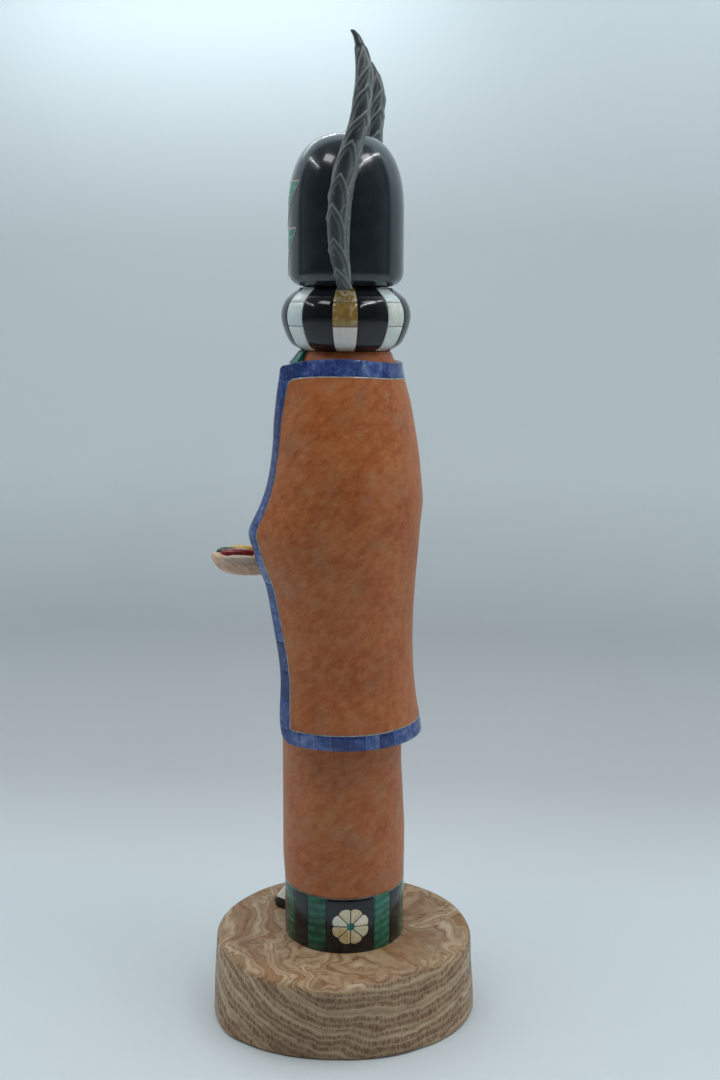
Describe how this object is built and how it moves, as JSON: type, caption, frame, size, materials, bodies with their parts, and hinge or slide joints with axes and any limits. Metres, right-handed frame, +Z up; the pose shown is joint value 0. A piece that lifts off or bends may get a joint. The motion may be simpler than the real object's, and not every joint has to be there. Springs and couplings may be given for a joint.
{
  "type": "kachina doll",
  "caption": "Inlaid stone figure in a cape and winged helmet, palms held out, standing on a round stone base.",
  "frame": {"origin": "centre of the base's underside", "axes": "+Z up; the figure faces -Y and its left side is +X"},
  "size_m": [0.0978, 0.1014, 0.3577],
  "materials": {
    "travertine": "satin polished banded stone",
    "pipestone": "satin orange stone with fine scratches",
    "lapis": "polished blue stone with pale flecks",
    "silver": "polished silver wire",
    "jet": "polished black stone",
    "malachite": "polished banded green stone",
    "shell": "polished mother-of-pearl",
    "banded_shell": "polished pink and cream banded shell",
    "turquoise": "polished blue-green stone",
    "coral": "polished red stone",
    "yellow_stone": "polished yellow stone"
  },
  "bodies": {
    "root": {"base": "travertine", "body": "pipestone", "cape_wire": "silver", "hem_wire": "silver", "cape_border_hem_left": "lapis", "cape_border_hem_back": "lapis", "cape_border_hem_right": "lapis", "cape_border_front_left": "lapis", "cape_border_front_right": "lapis", "cape_border_neck_left": "lapis", "cape_border_neck_right": "lapis", "hem_malachite_1": "malachite", "hem_malachite_3": "malachite", "hem_malachite_5": "malachite", "hem_malachite_7": "malachite", "hem_malachite_8": "malachite", "hem_malachite_10": "malachite", "hem_malachite_12": "malachite", "hem_malachite_14": "malachite", "ear_green": "malachite", "necklace_malachite_left": "malachite", "necklace_malachite_right": "malachite", "hem_jet_2": "jet", "hem_jet_4": "jet", "hem_jet_6": "jet", "hem_jet_9": "jet", "hem_jet_11": "jet", "hem_jet_13": "jet", "hem_panel_left": "jet", "hem_panel_right": "jet", "ruff_jet_1": "jet", "ruff_jet_2": "jet", "ruff_jet_3": "jet", "ruff_jet_4": "jet", "ruff_jet_5": "jet", "ruff_jet_6": "jet", "ruff_jet_7": "jet", "head": "jet", "wing_left": "jet", "wing_right": "jet", "boot_sole_right": "jet", "hem_flower_left": "shell", "hem_flower_right": "shell", "boot_right": "shell", "ruff_shell_1": "shell", "ruff_shell_2": "shell", "ruff_shell_3": "shell", "ruff_shell_4": "shell", "ruff_shell_5": "shell", "ruff_shell_6": "shell", "ruff_shell_7": "shell", "face_upper": "turquoise", "face_lower": "turquoise", "necklace_turquoise_left": "turquoise", "necklace_turquoise_right": "turquoise", "hand_left": "banded_shell", "hand_right": "banded_shell", "ear_red": "coral", "ear_yellow": "yellow_stone"}
  },
  "joints": []
}
